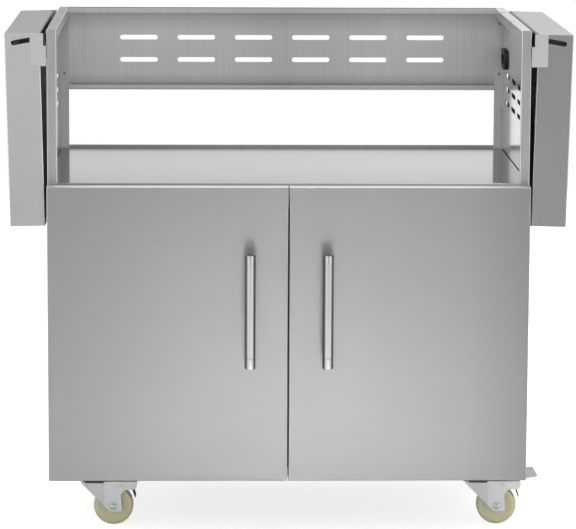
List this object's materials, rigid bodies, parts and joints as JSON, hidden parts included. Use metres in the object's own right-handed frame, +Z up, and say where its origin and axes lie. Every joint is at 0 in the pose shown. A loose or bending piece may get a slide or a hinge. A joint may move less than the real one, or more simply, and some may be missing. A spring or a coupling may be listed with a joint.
{
  "type": "grill cart",
  "caption": "Open-topped stainless grill cart on swivel casters: a deck bay with slotted walls over a two-door cupboard, with side shelves folded down.",
  "frame": {"origin": "on the floor, in the middle of the whole cart's width and depth", "axes": "+X to the right seen from the front, +Y from the doors to the back, +Z up"},
  "size_m": [1.0426, 0.613, 0.944],
  "materials": {
    "stainless_sheet": "brushed stainless steel sheet",
    "polished_bar": "finely brushed stainless steel bar",
    "zinc_plated_steel": "bright zinc plated pressed steel",
    "nylon_wheel": "moulded nylon, olive beige",
    "pedal_grey": "grey moulded nylon",
    "black_rubber": "moulded rubber",
    "black_plastic": "moulded acetal"
  },
  "bodies": {
    "cabinet": {"left_side_panel": "stainless_sheet", "right_side_panel": "stainless_sheet", "upper_back_panel": "stainless_sheet", "lower_back_panel": "stainless_sheet", "deck": "stainless_sheet", "floor": "stainless_sheet", "left_caster_rail": "stainless_sheet", "left_lower_hinge_bracket": "zinc_plated_steel", "left_upper_hinge_bracket": "zinc_plated_steel", "left_magnet_catch": "black_plastic", "front_left_shelf_bracket": "stainless_sheet", "front_left_caster_plate": "zinc_plated_steel", "rear_left_shelf_bracket": "stainless_sheet", "rear_left_caster_plate": "zinc_plated_steel", "left_shelf_studs": "zinc_plated_steel", "right_caster_rail": "stainless_sheet", "right_lower_hinge_bracket": "zinc_plated_steel", "right_upper_hinge_bracket": "zinc_plated_steel", "right_magnet_catch": "black_plastic", "front_right_shelf_bracket": "stainless_sheet", "front_right_caster_plate": "zinc_plated_steel", "rear_right_shelf_bracket": "stainless_sheet", "rear_right_caster_plate": "zinc_plated_steel", "right_shelf_studs": "zinc_plated_steel", "hose_grommet": "black_rubber", "hose_ledge": "stainless_sheet", "hose_hood": "stainless_sheet", "hinge_studs": "zinc_plated_steel", "back_panel_screws": "stainless_sheet", "caster_bolts": "zinc_plated_steel"},
    "left_door": {"left_door_skin": "stainless_sheet", "left_door_liner": "stainless_sheet", "left_door_bushes": "black_plastic", "left_handle_bar": "polished_bar", "left_handle_standoffs": "polished_bar", "left_handle_screws": "zinc_plated_steel"},
    "left_shelf": {"left_shelf_pan": "stainless_sheet", "left_shelf_stiffener": "stainless_sheet"},
    "front_left_caster": {"front_left_caster_fork": "zinc_plated_steel", "front_left_caster_axle": "zinc_plated_steel"},
    "front_left_wheel": {"front_left_caster_wheel": "nylon_wheel"},
    "left_brake_pedal": {"front_left_brake_pedal": "pedal_grey"},
    "rear_left_caster": {"rear_left_caster_fork": "zinc_plated_steel", "rear_left_caster_axle": "zinc_plated_steel"},
    "rear_left_wheel": {"rear_left_caster_wheel": "nylon_wheel"},
    "right_door": {"right_door_skin": "stainless_sheet", "right_door_liner": "stainless_sheet", "right_door_bushes": "black_plastic", "right_handle_bar": "polished_bar", "right_handle_standoffs": "polished_bar", "right_handle_screws": "zinc_plated_steel"},
    "right_shelf": {"right_shelf_pan": "stainless_sheet", "right_shelf_stiffener": "stainless_sheet"},
    "front_right_caster": {"front_right_caster_fork": "zinc_plated_steel", "front_right_caster_axle": "zinc_plated_steel"},
    "front_right_wheel": {"front_right_caster_wheel": "nylon_wheel"},
    "right_brake_pedal": {"front_right_brake_pedal": "pedal_grey"},
    "rear_right_caster": {"rear_right_caster_fork": "zinc_plated_steel", "rear_right_caster_axle": "zinc_plated_steel"},
    "rear_right_wheel": {"rear_right_caster_wheel": "nylon_wheel"}
  },
  "joints": [
    {"name": "left_door_hinge", "type": "hinge", "parent": "cabinet", "child": "left_door", "pos_m": [-0.4385, -0.249, 0.3825], "axis": [0, 0, -1], "range_deg": [0, 95]},
    {"name": "left_shelf_fold", "type": "hinge", "parent": "cabinet", "child": "left_shelf", "pos_m": [-0.48424, 0.0345, 0.90634], "axis": [0, 1, 0], "range_deg": [0, 91.3]},
    {"name": "front_left_swivel", "type": "hinge", "parent": "cabinet", "child": "front_left_caster", "pos_m": [-0.363, -0.151, 0.0925], "axis": [0, 0, 1], "continuous": true},
    {"name": "front_left_wheel_spin", "type": "hinge", "parent": "front_left_caster", "child": "front_left_wheel", "pos_m": [-0.327, -0.151, 0.0375], "axis": [0, 1, 0], "continuous": true},
    {"name": "left_brake_pedal_press", "type": "hinge", "parent": "front_left_caster", "child": "left_brake_pedal", "pos_m": [-0.3145, -0.151, 0.077], "axis": [0, 1, 0], "range_deg": [0, 10]},
    {"name": "rear_left_swivel", "type": "hinge", "parent": "cabinet", "child": "rear_left_caster", "pos_m": [-0.363, 0.22, 0.0925], "axis": [0, 0, 1], "continuous": true},
    {"name": "rear_left_wheel_spin", "type": "hinge", "parent": "rear_left_caster", "child": "rear_left_wheel", "pos_m": [-0.327, 0.22, 0.0375], "axis": [0, 1, 0], "continuous": true},
    {"name": "right_door_hinge", "type": "hinge", "parent": "cabinet", "child": "right_door", "pos_m": [0.4385, -0.249, 0.3825], "axis": [0, 0, 1], "range_deg": [0, 95]},
    {"name": "right_shelf_fold", "type": "hinge", "parent": "cabinet", "child": "right_shelf", "pos_m": [0.48424, 0.0345, 0.90634], "axis": [0, -1, 0], "range_deg": [0, 91.3]},
    {"name": "front_right_swivel", "type": "hinge", "parent": "cabinet", "child": "front_right_caster", "pos_m": [0.363, -0.151, 0.0925], "axis": [0, 0, 1], "continuous": true},
    {"name": "front_right_wheel_spin", "type": "hinge", "parent": "front_right_caster", "child": "front_right_wheel", "pos_m": [0.399, -0.151, 0.0375], "axis": [0, 1, 0], "continuous": true},
    {"name": "right_brake_pedal_press", "type": "hinge", "parent": "front_right_caster", "child": "right_brake_pedal", "pos_m": [0.4115, -0.151, 0.077], "axis": [0, 1, 0], "range_deg": [0, 10]},
    {"name": "rear_right_swivel", "type": "hinge", "parent": "cabinet", "child": "rear_right_caster", "pos_m": [0.363, 0.22, 0.0925], "axis": [0, 0, 1], "continuous": true},
    {"name": "rear_right_wheel_spin", "type": "hinge", "parent": "rear_right_caster", "child": "rear_right_wheel", "pos_m": [0.399, 0.22, 0.0375], "axis": [0, 1, 0], "continuous": true}
  ]
}
